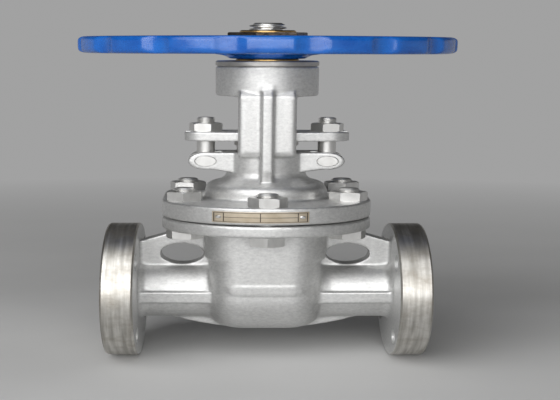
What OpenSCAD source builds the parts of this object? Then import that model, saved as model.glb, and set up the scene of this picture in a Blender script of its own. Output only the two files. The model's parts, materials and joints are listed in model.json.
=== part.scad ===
// Flanged wedge gate valve: bolted bonnet, outside screw and yoke, rising stem, turning handwheel.
// Millimetres. The origin is the centre of the inlet flange's face, +X is the way to the outlet
// and +Z runs up the stem. The valve is drawn shut, with its wedge between the seats.

/* [Pipe ends] */
// Face to face length along the pipe
face_to_face = 178; // [170:1:210]
// Diameter of the flow bore
bore_d = 51; // [46:0.5:52]
// Wall of the round necks between the chamber and the end flanges
neck_wall = 5.6; // [5:0.1:8]
// Diameter of the end flanges
flange_d = 152.4; // [146:0.1:164]
// Thickness of an end flange with its raised face
flange_t = 19; // [16:0.5:23]
// Diameter of the raised gasket face
raised_face_d = 92.1; // [84:0.1:98]
// Height of the raised gasket face
raised_face_h = 1.6; // [1:0.1:3]
// Circle through the bolt holes of an end flange
bolt_circle_d = 120.7; // [118:0.1:126]
// Diameter of a bolt hole in an end flange
flange_hole_d = 19; // [15:0.5:20]
// Number of bolt holes in an end flange
flange_holes = 4; // [4:4:8]

/* [Body] */
// Outside depth of the wedge chamber across the pipe
chamber_depth = 84; // [80:1:98]
// Radius of the drum round the bore, which bulges from the chamber's lower half
drum_r = 45; // [42:0.5:48]
// Rounding of the chamber's corners
chamber_round = 18; // [14:0.5:20]
// Wall of the chamber and of the bonnet's dome
body_wall = 8; // [6.5:0.5:9]
// Height of the body's joint face above the bore
body_top = 91; // [89:1:100]
// How far the collar under the joint flange stands out from the chamber
collar_step = 2.5; // [1:0.5:3.5]
// Height of that collar below the joint face
collar_h = 47; // [36:1:56]
// Thickness of the webs that stiffen the necks
web_t = 14; // [10:1:18]
// Height of a web where it meets the end flange
web_h = 58; // [56:1:64]
// Rise of a web's top edge per millimetre towards the stem
web_rise = 0.57; // [0.5:0.01:0.62]
// Diameter of the hole through a web
web_hole_d = 24; // [16:1:25]
// Metal left between a web hole and the walls beside it
web_hole_gap = 1; // [0.5:0.25:3]
// Depth of the keel below the bore
keel_depth = 46; // [45.5:0.5:52]
// Distance from the stem at which the keel runs out on a neck
keel_reach = 52; // [48:1:58]
// Thickness of the keel
keel_t = 12; // [8:1:16]
// Height of the flat bar along each side of a neck
bar_h = 13; // [8:1:18]
// How far that bar stands out from the neck
bar_proud = 3; // [2:0.5:4]
// Length of the bare cast pad on the chamber's front
pad_w = 41; // [30:1:46]
// Height of that pad
pad_h = 10.5; // [8:0.5:16]
// How far that pad stands out from the chamber
pad_proud = 0.6; // [0.4:0.1:1]

/* [Seats and wedge] */
// Width of the ring-shaped seat face
seat_land = 4.5; // [4:0.5:5]
// Thickness of the wedge on the bore axis
wedge_t = 24; // [22:1:27]
// Slope of each wedge face
wedge_angle = 5; // [4:0.5:6]
// Width of the guide ribs inside the chamber
guide_w = 6; // [4:0.5:8]
// How far the wedge lifts beyond the bore when it is open
lift_margin = 4; // [3:0.5:5]

/* [Bonnet joint] */
// Radius of the joint flange's round ends
joint_r = 56.5; // [54:0.5:62]
// Half distance between the centres of those round ends
joint_half_gap = 20; // [18:0.5:24]
// Thickness of the body's joint flange
joint_flange_t = 12.5; // [11:0.5:17]
// Thickness of the bonnet's joint flange
bonnet_flange_t = 18; // [13:0.5:20]
// Thickness of the gasket between them
gasket_t = 1.5; // [1:0.25:3]
// Radial width of the gasket
gasket_w = 9; // [6:0.5:10]
// Thread size of the bonnet bolts
bonnet_bolt_d = 12; // [10:1:13]
// Distance of the bonnet bolts from the joint flange's edge
bolt_edge = 11.5; // [10.5:0.5:13]
// Room for the bolt heads between the bolts and the chamber's collar
bolt_room = 12; // [11.5:0.5:14]
// Room for the nuts between the bolts and the dome
nut_room = 12; // [12:0.5:15]
// Angle of the side bolts on that line, from the pipe's direction
side_bolt_angle = 14; // [8:1:18]
// Length of bolt beyond each bonnet nut
bolt_proud = 4; // [2:0.5:7]

/* [Nameplate] */
// Length of the nameplate round the flange's edge
plate_w = 51; // [40:1:64]
// Distance of the nameplate's middle from the front along the flange's edge, minus towards the inlet
plate_shift = -4; // [-8:0.5:8]
// Height of the nameplate
plate_h = 11.5; // [8:0.5:13]
// Thickness of the nameplate
plate_t = 0.6; // [0.4:0.1:1.2]
// Distance of a rivet from the nameplate's end
rivet_inset = 3.5; // [3:0.5:6]

/* [Bonnet and yoke] */
// Half distance between the centres of the dome's round ends
dome_half_gap = 10; // [8:0.5:13]
// Height of the dome above the joint flange
dome_h = 17.5; // [16:0.5:24]
// Rounding of the dome's shoulder
dome_round = 14; // [10:0.5:16]
// Outside diameter of the stuffing box
box_d = 43; // [41:0.5:46]
// Height of the stuffing box above the dome
box_h = 32; // [30:0.5:38]
// Width of a yoke arm along the pipe
arm_w = 31; // [26:0.5:36]
// Thickness of a yoke arm across the pipe
arm_t = 9.5; // [8:0.5:11]
// Half distance between the inner faces of the yoke arms
arm_half_gap = 19; // [18.5:0.5:20]
// Rounding of a yoke arm's upright edges
arm_round = 3; // [1.5:0.5:4]
// Width of the rib down the middle of each arm
rib_w = 6; // [4:0.5:8]
// How far the rib stands out from its arm
rib_proud = 3.5; // [2:0.5:5]
// Height of the yoke window above the stuffing box
yoke_h = 62; // [58:1:74]
// Diameter of the yoke's hub
hub_d = 55.5; // [55:0.5:62]
// Height of the yoke's hub
hub_h = 32.5; // [31:0.5:38]

/* [Gland] */
// Width of the packing round the stem
packing_w = 6.2; // [5.5:0.1:6.5]
// How deep the gland bushing enters the stuffing box
gland_entry = 10; // [7:0.5:12]
// Height of the gland flange above the stuffing box
gland_lift = 12.5; // [11:0.5:16]
// Thickness of the gland flange
gland_t = 10; // [8:0.5:12]
// Radius of the gland flange round the stem
gland_r = 17; // [16:0.5:17.5]
// Radius of the gland flange's ends
gland_end_r = 13; // [10.5:0.5:14]
// Distance of the eyebolts from the stem
eyebolt_x = 33; // [33:0.5:37]
// Thread size of the eyebolts
eyebolt_d = 10; // [8:1:11]
// Diameter of the eyebolt pins
pin_d = 12; // [9:0.5:12.5]
// Radius of the ears round their pins
ear_r = 9.5; // [9:0.5:11]
// Thickness of a pair of ears across the pipe
ear_t = 25; // [22:0.5:28]
// Thickness of an eyebolt's eye between its ears
eye_t = 11.5; // [10:0.5:12.5]
// Length of eyebolt beyond its nut
eyebolt_proud = 6.5; // [3:0.5:9]

/* [Stem and yoke nut] */
// Diameter of the stem
stem_d = 20; // [18:0.5:20.5]
// Lead of the stem's thread
thread_lead = 4; // [3.5:0.5:5]
// How far the stem stands above the yoke nut when shut
stem_proud = 8; // [4:1:14]
// Diameter of the collar that meets the backseat
stem_collar_d = 28; // [25:0.5:30]
// Diameter of the yoke nut in the yoke's hub
yoke_nut_d = 34; // [33:0.5:36]
// Diameter of the yoke nut's thrust collar
thrust_d = 44; // [42:0.5:46]
// Thickness of that thrust collar
thrust_t = 12; // [9:0.5:14]
// Diameter of the yoke nut inside the handwheel
sleeve_d = 30; // [28:0.5:31]
// Height of the yoke nut above the handwheel nut
sleeve_proud = 2.3; // [1:0.1:5]
// Thickness of the cap on the yoke's hub
cap_t = 6; // [4:0.5:7]

/* [Handwheel] */
// Outside diameter of the handwheel
wheel_d = 202; // [180:1:240]
// Radial width of the rim
rim_w = 20; // [16:0.5:24]
// Height of the rim
rim_h = 15.5; // [13:0.5:18]
// Rounding of the rim's edges
rim_round = 4.5; // [2.5:0.5:6]
// Height of the rim's underside above the hub's underside
rim_rise = 9.9; // [7:0.1:13]
// Number of finger grips round the rim
grips = 16; // [12:1:20]
// Depth of a finger grip
grip_depth = 3; // [1.5:0.5:4]
// Radius of a finger grip
grip_r = 14; // [10:1:20]
// Number of spokes
spokes = 5; // [3:1:6]
// Width of a spoke at the hub
spoke_w = 16; // [12:0.5:18]
// Width of a spoke at the rim
spoke_end_w = 12; // [9:0.5:16]
// Thickness of a spoke
spoke_t = 9; // [7:0.5:10]
// Diameter of the handwheel's hub
wheel_hub_d = 44; // [42:0.5:48]
// Height of the handwheel's hub
wheel_hub_h = 20.4; // [19:0.1:24]
// Gap between the yoke cap and the handwheel's hub
wheel_gap = 2.1; // [1:0.1:4]
// Width of the key between the handwheel and the yoke nut
key_w = 6; // [4:0.5:8]
// Size across the flats of the handwheel nut
wheel_nut_af = 38; // [36:0.5:42]
// Height of the handwheel nut
wheel_nut_h = 8.7; // [7:0.1:11]

/* [Hidden] */
$fn = 64;

// Clearances: a sliding or seated fit, a hole round a bolt, a gap that nothing runs in
fit = 0.05;
hole_slack = 0.5;
free_gap = 0.4;
// Length by which a cut runs past a face, and by which joined shapes run into each other
cut_past = 2;
join = 1;
// Small chamfers on castings and on fasteners
edge = 1;
fastener_edge = 0.9;

// Colours as the finishes look
cast_colour = "silver";
bright_colour = "gainsboro";
bronze_colour = "peru";
graphite_colour = "dimgray";
wheel_colour = "royalblue";
black_colour = "#2b2623";

// Heights up the stem axis
half_length = face_to_face / 2;
bonnet_bottom = body_top + gasket_t;
bonnet_flange_top = bonnet_bottom + bonnet_flange_t;
dome_top = bonnet_flange_top + dome_h;
box_top = dome_top + box_h;
hub_bottom = box_top + yoke_h;
hub_top = hub_bottom + hub_h;
cap_top = hub_top + cap_t;
wheel_bottom = cap_top + wheel_gap;
wheel_hub_top = wheel_bottom + wheel_hub_h;
wheel_nut_top = wheel_hub_top + wheel_nut_h;
sleeve_top = wheel_nut_top + sleeve_proud;
stem_top = sleeve_top + stem_proud;

// The joint flange's radius sets the bolts, and these leave room for the chamber and the dome
bolt_line_r = joint_r - bolt_edge;
chamber_r = bolt_line_r - bolt_room - collar_step;
dome_r = bolt_line_r - nut_room;

// Pipe ends
bore_r = bore_d / 2;
neck_r = bore_r + neck_wall;
flange_back = half_length - flange_t;
flange_face = half_length - raised_face_h;
neck_fillet = 5;

// Chamber, a box with rounded corners in plan
chamber_half_depth = chamber_depth / 2;
collar_bottom = body_top - collar_h;
collar_fillet = 4;
joint_bottom = body_top - joint_flange_t;
web_hole_x = chamber_r + collar_step + web_hole_gap + web_hole_d / 2;
web_hole_z = neck_r + web_hole_gap + web_hole_d / 2;
keel_r = (keel_reach ^ 2 + (keel_depth - neck_r) ^ 2) / (2 * (keel_depth - neck_r));
pad_rise = 11.5;

// Distance of the gasket from the chamber's inside
gasket_inset = 3;

// Cone that blends the chamber's sides into the necks
flare_in = 9;
flare_out = 5;
flare_rise = 5.5;
flare_start = chamber_r - flare_in;
flare_end = chamber_r + flare_out;

// Seats and wedge
seat_lip = 0.5;
seat_shoulder = 4;
guide_grip = 3;
seat_bore_r = bore_r - seat_lip;
seat_r = bore_r + seat_land;
seat_depth = chamber_r - seat_shoulder;
guide_tip = seat_r - guide_grip;
turns = ceil((bore_d + lift_margin) / thread_lead);
travel = turns * thread_lead;

// Bonnet inside
dome_roof = 12;
throat_h = 8;
throat_step = 2;
backseat_t = 4;
backseat_rim = 3;
cavity_top = dome_top - dome_roof;
box_floor = cavity_top + throat_h;
backseat_bottom = cavity_top - backseat_t;
stem_r = stem_d / 2;
box_r = stem_r + fit + packing_w;
throat_r = box_r - throat_step;
packing_top = box_top - gland_entry;
packing_rings = 5;
packing_h = (packing_top - box_floor) / packing_rings;

// Stem foot: a collar for the backseat, and a tee that the wedge hangs on
stem_collar_top = backseat_bottom - travel - free_gap;
stem_collar_t = 6;
stem_collar_bottom = stem_collar_top - stem_collar_t;
tee_neck_h = 4;
tee_cover = 6;
tee_t = 8;
wedge_top = stem_collar_bottom - tee_neck_h;
tee_top = wedge_top - tee_cover;
tee_bottom = tee_top - tee_t;
tee_neck_d = 15;
tee_w = 26;
tee_l = 18;
boss_cheek = 6;
boss_lip = 2;

// Bonnet bolts, with hexagons of the usual proportions to their thread
hex_per_thread = 1.5;
head_per_thread = 0.625;
nut_per_thread = 0.83;
bonnet_bolt_r = bonnet_bolt_d / 2;
bonnet_hex = hex_per_thread * bonnet_bolt_d;
bonnet_head_h = head_per_thread * bonnet_bolt_d;
bonnet_nut_h = nut_per_thread * bonnet_bolt_d;
bolt_places = [for (a = [side_bolt_angle, 90, 180 - side_bolt_angle], end = [-1, 1])
    [bolt_line_r * cos(a), end * (joint_half_gap + bolt_line_r * sin(a))]];
// Angles at which the hexagons came to rest when they were tightened
nut_turns = [2, 40, 4, 15, 27, 48];
head_turns = [12, 35, 30, 8, 50, 20];
gland_nut_turns = [-11, 12];
wheel_nut_turn = 13;

// Nameplate
plate_z = bonnet_bottom + (bonnet_flange_t - edge) / 2;
plate_angle = plate_w / joint_r * 180 / PI;
plate_turn = plate_shift / joint_r * 180 / PI;
rivet_angle = plate_angle / 2 - rivet_inset / joint_r * 180 / PI;
rivet_r = 1;
rivet_head_r = 1.7;
rivet_head_t = 0.8;
rivet_depth = 4;

// Yoke
arm_out = arm_half_gap + arm_t;
arm_foot = 18;
arm_knee = 4;
rib_out = arm_out + rib_proud;
rib_overlap = 13;
rib_root = 2;
rib_top = hub_bottom + rib_overlap;
hub_r = hub_d / 2;

// Gland
gland_bottom = box_top + gland_lift;
gland_top = gland_bottom + gland_t;
gland_lip = 0.5;
gland_collar_r = gland_r + gland_lip;
gland_collar_t = 6;
eyebolt_r = eyebolt_d / 2;
pin_r = pin_d / 2;
pin_z = box_top - ear_r;
pin_proud = 0.5;
ear_slope = 14;
eye_wall = 3;
eye_r = max(ear_r, pin_r + eye_wall);
gland_hex_per_thread = 1.6;
gland_nut_per_thread = 0.9;
gland_hex = gland_hex_per_thread * eyebolt_d;
gland_nut_h = gland_nut_per_thread * eyebolt_d;
eyebolt_top = gland_top + gland_nut_h + eyebolt_proud;

// Yoke nut, turning in the hub under its cap
yoke_nut_r = yoke_nut_d / 2;
thrust_r = thrust_d / 2;
cap_spigot = 5.5;
yoke_nut_lift = 4;
thrust_top = hub_top - cap_spigot;
thrust_bottom = thrust_top - thrust_t;
yoke_nut_bottom = hub_bottom + yoke_nut_lift;
sleeve_r = sleeve_d / 2;

// Handwheel
wheel_r = wheel_d / 2;
rim_bottom = wheel_bottom + rim_rise;
rim_in_r = wheel_r - rim_w;
wheel_hub_r = wheel_hub_d / 2;
spoke_foot_h = 1.5;
spoke_foot_extra_t = 2;
spoke_end_h = 2.5;
spoke_knee_h = 1;
spoke_knee_out = 18;
spoke_root = 2;
spoke_foot_z = wheel_bottom + spoke_foot_h;
spoke_end_z = rim_bottom + spoke_end_h;
spoke_knee_z = rim_bottom + spoke_knee_h;
spoke_knee_r = wheel_hub_r + spoke_knee_out;
key_lift = 1;
key_cover = 4;
key_l = wheel_hub_h - key_lift - key_cover;
key_r = sleeve_r - key_w / 2;

// Puts what is drawn about the stem axis into the valve's own frame
module valve_frame() {
    translate([half_length, 0, 0]) children();
}

// Draws something at the outlet side and its mirror image at the inlet side
module both_ends() {
    for (side = [0, 1]) mirror([side, 0, 0]) children();
}

// Draws something on the back arm's side and its mirror image on the front
module both_arms() {
    for (side = [0, 1]) mirror([0, side, 0]) children();
}

// Turns a profile's axis from +Z to +X
module along_pipe() {
    rotate([0, 90, 0]) children();
}

// Extrudes an outline drawn in X and Z across the pipe
module across(t) {
    rotate([90, 0, 0]) linear_extrude(t, center = true) children();
}

// Turns a profile about Z in four quarter turns, with straight stretches along X and Y between them
module rounded_turn(half_gap_x, half_gap_y) {
    for (i = [0 : 3]) {
        corner = [half_gap_x * (i == 0 || i == 3 ? 1 : -1), half_gap_y * (i < 2 ? 1 : -1), 0];
        translate(corner) rotate([0, 0, 90 * i]) rotate_extrude(angle = 90) children();
    }
    for (side = [0, 180]) rotate([0, 0, side]) {
        translate([half_gap_x, 0, 0]) across(2 * half_gap_y) children();
        if (half_gap_x > 0) translate([0, half_gap_y, 0]) rotate([0, 0, 90])
            across(2 * half_gap_x) children();
    }
}

// The same with two round ends and no flat between them
module obround_turn(half_gap) {
    rounded_turn(0, half_gap) children();
}

// A quarter-round fillet for an inside corner at the origin, standing on +Y
module fillet_up(r) {
    difference() {
        square(r);
        translate([r, r]) circle(r);
    }
}

// The same fillet hanging on -Y
module fillet_down(r) {
    mirror([0, 1]) fillet_up(r);
}

// A rectangle from the axis with chamfered outer corners
module disc_profile(r, bottom, top, chamfer) {
    polygon([[0, bottom], [r - chamfer, bottom], [r, bottom + chamfer], [r, top - chamfer],
        [r - chamfer, top], [0, top]]);
}

// A rectangle with rounded corners, centred on the origin
module rounded_rect(w, h, r) {
    square([w - 2 * r, h], center = true);
    square([w, h - 2 * r], center = true);
    for (x = [-1, 1], y = [-1, 1]) translate([x * (w / 2 - r), y * (h / 2 - r)]) circle(r);
}

// Straight flanks that join two circles along their outer tangents, the second one out along X
module tapered_link(r1, r2, d) {
    lean = acos((r1 - r2) / d);
    polygon([[0, 0], [r1 * cos(lean), r1 * sin(lean)], [d + r2 * cos(lean), r2 * sin(lean)], [d, 0],
        [d + r2 * cos(lean), -r2 * sin(lean)], [r1 * cos(lean), -r1 * sin(lean)]]);
}

// A hexagon of a given size across its flats, with its corners turned off at both ends
module hexagon(flats, h) {
    corner_r = flats / sqrt(3);
    intersection() {
        cylinder(r = corner_r, h = h, $fn = 6);
        rotate_extrude() disc_profile(corner_r, 0, h, fastener_edge);
    }
}

// A hexagon nut standing on the origin
module hex_nut(flats, h, hole_r) {
    difference() {
        hexagon(flats, h);
        translate([0, 0, -cut_past]) cylinder(r = hole_r, h = h + 2 * cut_past);
    }
}

// A plain round bar up Z with chamfered ends
module bar(r, bottom, top) {
    rotate_extrude() disc_profile(r, bottom, top, fastener_edge);
}

// A ring about Z
module ring(r_in, r_out, bottom, top) {
    rotate_extrude() translate([r_in, bottom]) square([r_out - r_in, top - bottom]);
}

// Holes of the bonnet bolts, through both joint flanges
module bolt_holes() {
    for (place = bolt_places) translate([place.x, place.y, joint_bottom - cut_past])
        cylinder(r = bonnet_bolt_r + hole_slack, h = bonnet_flange_top - joint_bottom + 2 * cut_past);
}

// Chamber outline, drawn in by an inset: a drum round the bore, with upright walls above
module chamber(inset, top) {
    half_w = chamber_r - inset;
    round_r = chamber_round - inset;
    drum_flat = drum_r - inset - round_r;
    along_pipe() rotate_extrude() {
        translate([0, -half_w]) square([drum_flat, 2 * half_w]);
        translate([0, round_r - half_w]) square([drum_flat + round_r, 2 * (half_w - round_r)]);
        for (side = [-1, 1]) translate([drum_flat, side * (half_w - round_r)]) intersection() {
            circle(round_r);
            translate([0, -round_r]) square([round_r, 2 * round_r]);
        }
    }
    linear_extrude(top) rounded_rect(2 * half_w, 2 * (chamber_half_depth - inset), round_r);
}

// Thicker collar round the chamber's top, with a fillet under the joint flange
module chamber_collar() {
    collar_round = chamber_round + collar_step;
    translate([0, 0, collar_bottom]) linear_extrude(joint_bottom + join - collar_bottom)
        rounded_rect(2 * (chamber_r + collar_step), chamber_depth + 2 * collar_step, collar_round);
    rounded_turn(chamber_r - chamber_round, chamber_half_depth - chamber_round)
        translate([collar_round, joint_bottom]) fillet_down(collar_fillet);
}

// One neck with its end flange, turned as one profile
module pipe_end() {
    along_pipe() rotate_extrude() {
        square([neck_r, flange_back + join]);
        disc_profile(flange_d / 2, flange_back, flange_face, edge);
        translate([neck_r, flange_back]) fillet_down(neck_fillet);
        translate([0, flange_back + edge]) square([raised_face_d / 2, flange_t - edge]);
    }
    along_pipe() translate([0, 0, flare_start])
        cylinder(r1 = seat_r + flare_rise, r2 = neck_r, h = flare_end - flare_start);
}

// The upright web over one neck, and the flat bar along the neck's sides
module neck_web() {
    web_run = (joint_bottom - web_h) / web_rise;
    web_end = flange_back + join;
    across(web_t) polygon([[0, 0], [web_end, 0], [web_end, web_h - join * web_rise],
        [flange_back - web_run, joint_bottom + join], [0, joint_bottom + join]]);
    translate([flare_start, -neck_r - bar_proud, -bar_h / 2])
        cube([web_end - flare_start, 2 * (neck_r + bar_proud), bar_h]);
}

// The curved keel that runs under the chamber from neck to neck
module keel() {
    intersection() {
        translate([0, 0, keel_r - keel_depth]) across(keel_t) circle(keel_r, $fn = 128);
        translate([-keel_reach, -keel_t, -keel_depth]) cube([2 * keel_reach, 2 * keel_t, keel_depth]);
    }
}

// Bare pad cast on the drum's front, with round ends, following the drum
module cast_pad() {
    half_run = (pad_w - pad_h) / 2;
    intersection() {
        chamber(-pad_proud, pad_rise + pad_h);
        translate([0, -drum_r, pad_rise]) union() {
            across(2 * body_wall) square([2 * half_run, pad_h], center = true);
            for (side = [-1, 1]) translate([side * half_run, 0, 0]) across(2 * body_wall) circle(pad_h / 2);
        }
    }
}

// Bolt holes of one end flange, astride the centrelines
module flange_bolt_holes() {
    for (i = [0 : flange_holes - 1]) along_pipe() rotate([0, 0, (i + 0.5) * 360 / flange_holes])
        translate([bolt_circle_d / 2, 0, flange_back - cut_past])
            cylinder(d = flange_hole_d, h = flange_t + 2 * cut_past);
}

// Ribs inside the chamber that the wedge slides on
module guides() {
    both_arms() translate([-guide_w / 2, guide_tip + free_gap, -bore_r])
        cube([guide_w, chamber_depth / 2 - body_wall / 2 - guide_tip, body_top + bore_r - edge]);
}

module body() {
    color(cast_colour) valve_frame() difference() {
        union() {
            difference() {
                union() {
                    chamber(0, joint_bottom + join);
                    chamber_collar();
                    obround_turn(joint_half_gap) disc_profile(joint_r, joint_bottom, body_top, edge);
                    both_ends() pipe_end();
                    both_ends() neck_web();
                    keel();
                    cast_pad();
                }
                chamber(body_wall, body_top + cut_past);
                both_ends() translate([web_hole_x, 0, web_hole_z]) across(2 * chamber_depth)
                    circle(d = web_hole_d);
            }
            intersection() {
                guides();
                chamber(body_wall / 2, body_top);
            }
        }
        along_pipe() translate([0, 0, -half_length - cut_past])
            cylinder(r = bore_r, h = face_to_face + 2 * cut_past);
        along_pipe() translate([0, 0, -seat_depth]) cylinder(r = seat_r + fit, h = 2 * seat_depth);
        both_ends() flange_bolt_holes();
        bolt_holes();
    }
}

// A seat ring on the outlet side, its face sloped to meet the wedge
module seat_ring() {
    reach = 2 * seat_r;
    difference() {
        along_pipe() ring(seat_bore_r, seat_r, 0, seat_depth);
        translate([wedge_t / 2 + fit, 0, 0]) rotate([0, wedge_angle, 0])
            translate([-reach, -reach, -reach]) cube([reach, 2 * reach, 2 * reach]);
    }
}

module seat_ring_inlet() {
    color(bright_colour) valve_frame() mirror([1, 0, 0]) seat_ring();
}

module seat_ring_outlet() {
    color(bright_colour) valve_frame() seat_ring();
}

// The wedge: a tapered disc, a boss with a slot for the stem's tee, and grooves for the guides
module wedge() {
    spread = seat_r * tan(wedge_angle);
    boss_w = wedge_t + 2 * boss_lip;
    boss_depth = tee_w + 2 * boss_cheek;
    color(bright_colour) valve_frame() difference() {
        union() {
            intersection() {
                along_pipe() translate([0, 0, -wedge_t]) cylinder(r = seat_r, h = 2 * wedge_t);
                across(3 * seat_r) polygon([[-wedge_t / 2 + spread, -seat_r],
                    [wedge_t / 2 - spread, -seat_r], [wedge_t / 2 + spread, seat_r],
                    [-wedge_t / 2 - spread, seat_r]]);
            }
            translate([-boss_w / 2, -boss_depth / 2, bore_r - edge])
                cube([boss_w, boss_depth, wedge_top - bore_r + edge]);
        }
        translate([-boss_w, -tee_w / 2 - hole_slack, tee_bottom - hole_slack])
            cube([2 * boss_w, tee_w + 2 * hole_slack, tee_t + hole_slack]);
        translate([-boss_w, -tee_neck_d / 2 - hole_slack, tee_bottom])
            cube([2 * boss_w, tee_neck_d + 2 * hole_slack, wedge_top]);
        both_arms() translate([-guide_w / 2 - free_gap, guide_tip, -seat_r])
            cube([guide_w + 2 * free_gap, seat_r, 2 * seat_r]);
    }
}

module stem() {
    color(bright_colour) valve_frame() union() {
        bar(stem_r, stem_collar_bottom, stem_top);
        rotate_extrude() disc_profile(stem_collar_d / 2, stem_collar_bottom, stem_collar_top, edge);
        translate([0, 0, tee_bottom]) cylinder(d = tee_neck_d, h = stem_collar_bottom - tee_bottom + join);
        translate([-tee_l / 2, -tee_w / 2, tee_bottom]) cube([tee_l, tee_w, tee_t]);
    }
}

module bonnet_gasket() {
    color(graphite_colour) valve_frame()
        rounded_turn(chamber_r - chamber_round, chamber_half_depth - chamber_round)
            translate([chamber_round - body_wall + gasket_inset, body_top]) square([gasket_w, gasket_t]);
}

// Dome over the chamber, with a round shoulder
module dome(r, bottom, top, shoulder) {
    obround_turn(dome_half_gap) {
        translate([0, bottom]) square([r, top - shoulder - bottom]);
        translate([0, bottom]) square([r - shoulder, top - bottom]);
        translate([r - shoulder, top - shoulder]) intersection() {
            circle(shoulder);
            square(shoulder);
        }
    }
}

// Upright yoke arm, springing from the stuffing box and carrying the hub
module yoke_arm() {
    foot_z = box_top - arm_foot;
    knee_z = box_top - arm_knee;
    intersection() {
        rotate([90, 0, 90]) linear_extrude(2 * arm_w, center = true)
            polygon([[stem_r, foot_z], [box_d / 2 - edge, foot_z], [arm_out, knee_z],
                [arm_out, hub_bottom + join], [arm_half_gap, hub_bottom + join], [arm_half_gap, box_top],
                [stem_r, box_top]]);
        translate([0, arm_out / 2, 0]) linear_extrude(hub_top)
            rounded_rect(arm_w, arm_out, arm_round);
    }
}

// Rib down the middle of a yoke arm, from the hub to the dome
module yoke_rib() {
    foot_in = box_r + rib_root;
    arm_in = arm_half_gap + rib_root;
    rotate([90, 0, 90]) linear_extrude(rib_w, center = true)
        polygon([[foot_in, dome_top - join], [arm_out, dome_top - join], [rib_out, box_top - arm_foot],
            [rib_out, rib_top - rib_proud], [arm_out, rib_top], [arm_in, rib_top],
            [arm_in, box_top], [foot_in, box_top]]);
}

// Pair of ears on the outlet side, before its slot and pin hole are cut
module ear() {
    across(ear_t) {
        translate([eyebolt_x, pin_z]) circle(ear_r);
        translate([0, pin_z]) square([eyebolt_x, ear_r]);
        polygon([[eyebolt_x - ear_r * sin(ear_slope), pin_z - ear_r * cos(ear_slope)],
            [0, pin_z - ear_r / cos(ear_slope) - eyebolt_x * tan(ear_slope)], [0, pin_z],
            [eyebolt_x, pin_z]]);
    }
}

// Room for the eyebolt's eye between the ears, and the pin's hole
module ear_cuts() {
    slot_start = eyebolt_x - eye_r - free_gap;
    translate([slot_start, -eye_t / 2 - free_gap, pin_z - 2 * eye_r])
        cube([2 * eye_r + ear_r, eye_t + 2 * free_gap, 4 * eye_r]);
    translate([eyebolt_x, 0, pin_z]) across(2 * ear_t) circle(pin_r + fit);
}

// Seats for the yoke nut and its cap, bored into the yoke's hub
module hub_bores() {
    translate([0, 0, hub_bottom - cut_past]) cylinder(r = yoke_nut_r + fit, h = hub_h + 2 * cut_past);
    translate([0, 0, thrust_bottom - fit]) cylinder(r = thrust_r + fit, h = hub_h);
}

module bonnet() {
    color(cast_colour) valve_frame() difference() {
        union() {
            obround_turn(joint_half_gap) disc_profile(joint_r, bonnet_bottom, bonnet_flange_top, edge);
            dome(dome_r, bonnet_bottom + edge, dome_top, dome_round);
            obround_turn(dome_half_gap) translate([dome_r, bonnet_flange_top]) fillet_up(collar_fillet);
            rotate_extrude() {
                translate([0, cavity_top]) square([box_d / 2, box_top - cavity_top]);
                translate([box_d / 2, dome_top]) fillet_up(collar_fillet);
            }
            both_ends() ear();
            both_arms() yoke_arm();
            both_arms() yoke_rib();
            rotate_extrude() disc_profile(hub_r, hub_bottom, hub_top, edge);
        }
        dome(dome_r - body_wall, bonnet_bottom - cut_past, cavity_top, dome_round - body_wall);
        translate([0, 0, cavity_top - cut_past]) cylinder(r = throat_r, h = box_top - cavity_top);
        translate([0, 0, box_floor]) cylinder(r = box_r + fit, h = box_top);
        both_ends() ear_cuts();
        hub_bores();
        bolt_holes();
        rivet_places() cylinder(r = rivet_r + fit, h = 2 * rivet_depth, center = true);
    }
}

module bonnet_bolts() {
    color(bright_colour) valve_frame() for (i = [0 : len(bolt_places) - 1])
        translate([bolt_places[i].x, bolt_places[i].y, 0]) {
            translate([0, 0, joint_bottom - bonnet_head_h]) rotate([0, 0, head_turns[i]])
                hexagon(bonnet_hex, bonnet_head_h);
            bar(bonnet_bolt_r, joint_bottom - bonnet_head_h + fastener_edge,
                bonnet_flange_top + bonnet_nut_h + bolt_proud);
        }
}

module bonnet_nuts() {
    color(bright_colour) valve_frame() for (i = [0 : len(bolt_places) - 1])
        translate([bolt_places[i].x, bolt_places[i].y, bonnet_flange_top]) rotate([0, 0, nut_turns[i]])
            hex_nut(bonnet_hex, bonnet_nut_h, bonnet_bolt_r + fit);
}

// A strip bent round the front of the bonnet's joint flange
module nameplate() {
    color(bronze_colour) valve_frame() difference() {
        translate([0, -joint_half_gap, plate_z]) rotate([0, 0, plate_turn - 90 - plate_angle / 2])
            rotate_extrude(angle = plate_angle) translate([joint_r + fit, -plate_h / 2])
                square([plate_t, plate_h]);
        rivet_places() cylinder(r = rivet_r + fit, h = 2 * rivet_depth, center = true);
    }
}

// Frames of the two rivets on the flange's edge, with +Z pointing out of it
module rivet_places() {
    for (side = [-1, 1]) translate([0, -joint_half_gap, plate_z])
        rotate([0, 0, plate_turn - 90 + side * rivet_angle]) translate([joint_r, 0, 0]) rotate([0, 90, 0])
            children();
}

module nameplate_rivets() {
    seat = plate_t + 3 * fit;
    color(bright_colour) valve_frame() rivet_places() rotate_extrude()
        polygon([[0, fit - rivet_depth], [rivet_r, fit - rivet_depth], [rivet_r, seat],
            [rivet_head_r, seat], [rivet_r, seat + rivet_head_t], [0, seat + rivet_head_t]]);
}

// A bush hung in the roof of the bonnet's cavity, on which the stem's collar seals when open
module backseat_bushing() {
    shank_r = throat_r - fit;
    shank_bottom = backseat_bottom + join;
    color(bronze_colour) valve_frame() difference() {
        union() {
            translate([0, 0, backseat_bottom]) cylinder(r = shank_r + backseat_rim, h = backseat_t);
            translate([0, 0, shank_bottom]) cylinder(r = shank_r, h = box_floor - shank_bottom);
        }
        translate([0, 0, backseat_bottom - cut_past])
            cylinder(r = stem_r + free_gap, h = box_floor - backseat_bottom + 2 * cut_past);
    }
}

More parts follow.
